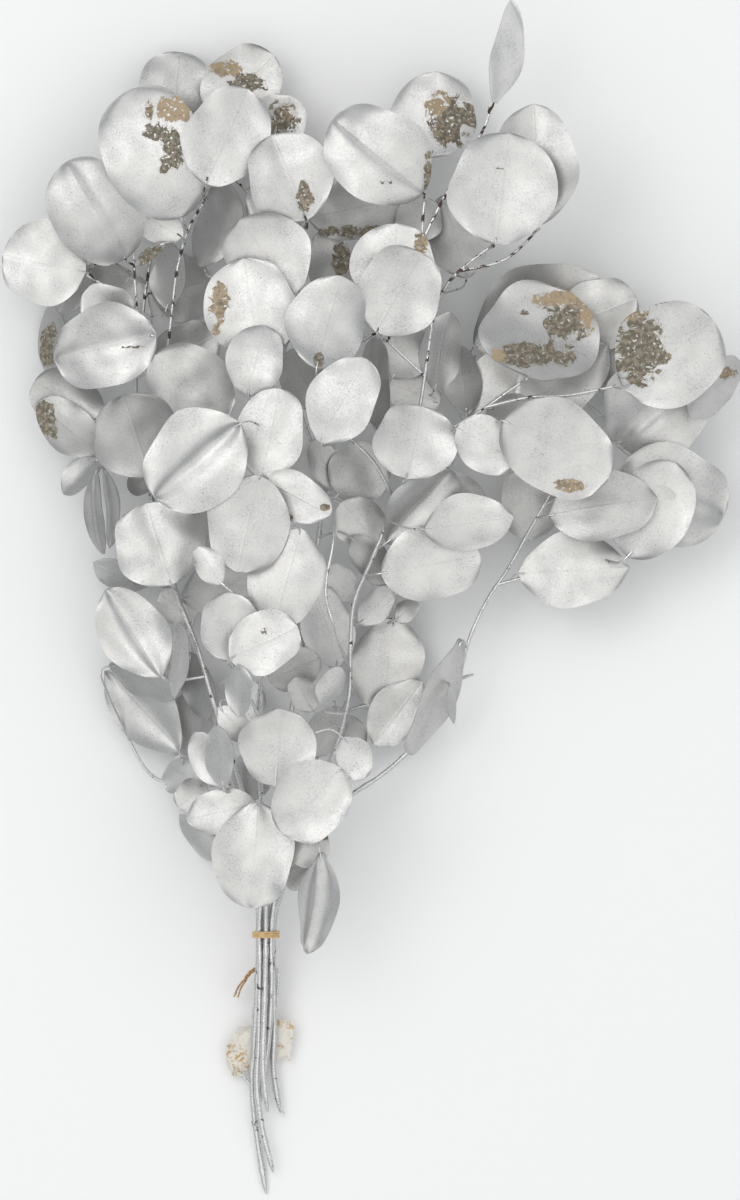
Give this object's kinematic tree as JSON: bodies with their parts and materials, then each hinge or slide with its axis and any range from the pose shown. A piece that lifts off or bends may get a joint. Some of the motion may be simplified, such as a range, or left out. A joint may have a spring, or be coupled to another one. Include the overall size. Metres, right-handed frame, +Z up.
{
  "type": "silver painted eucalyptus bunch",
  "caption": "Tied bunch of round-leaved eucalyptus stems painted silver, lying flat, with an elastic band, a twine tail and a scrap of paper at the cut ends.",
  "frame": {"origin": "under the middle of the bunch's box, on the surface that it lies on", "axes": "+Y from the cut ends to the leafy end, +X to the right seen from above, +Z up, away from the surface"},
  "size_m": [0.4112, 0.661, 0.1327],
  "materials": {
    "silver_leaf": "satin silver paint over dried leaves and twigs, with bare olive and tan patches",
    "elastic": "matt tan rubber",
    "twine": "frayed brown twine",
    "paper": "crumpled off-white paper with tan flecks"
  },
  "bodies": {
    "root": {"stem_back_left": "silver_leaf", "stem_back_right": "silver_leaf", "stem_back_centre": "silver_leaf", "stem_left": "silver_leaf", "stem_right": "silver_leaf", "stem_centre": "silver_leaf", "stem_centre_right": "silver_leaf", "stem_low": "silver_leaf", "elastic_band": "elastic", "twine_tail": "twine", "paper_scrap": "paper"}
  },
  "joints": []
}
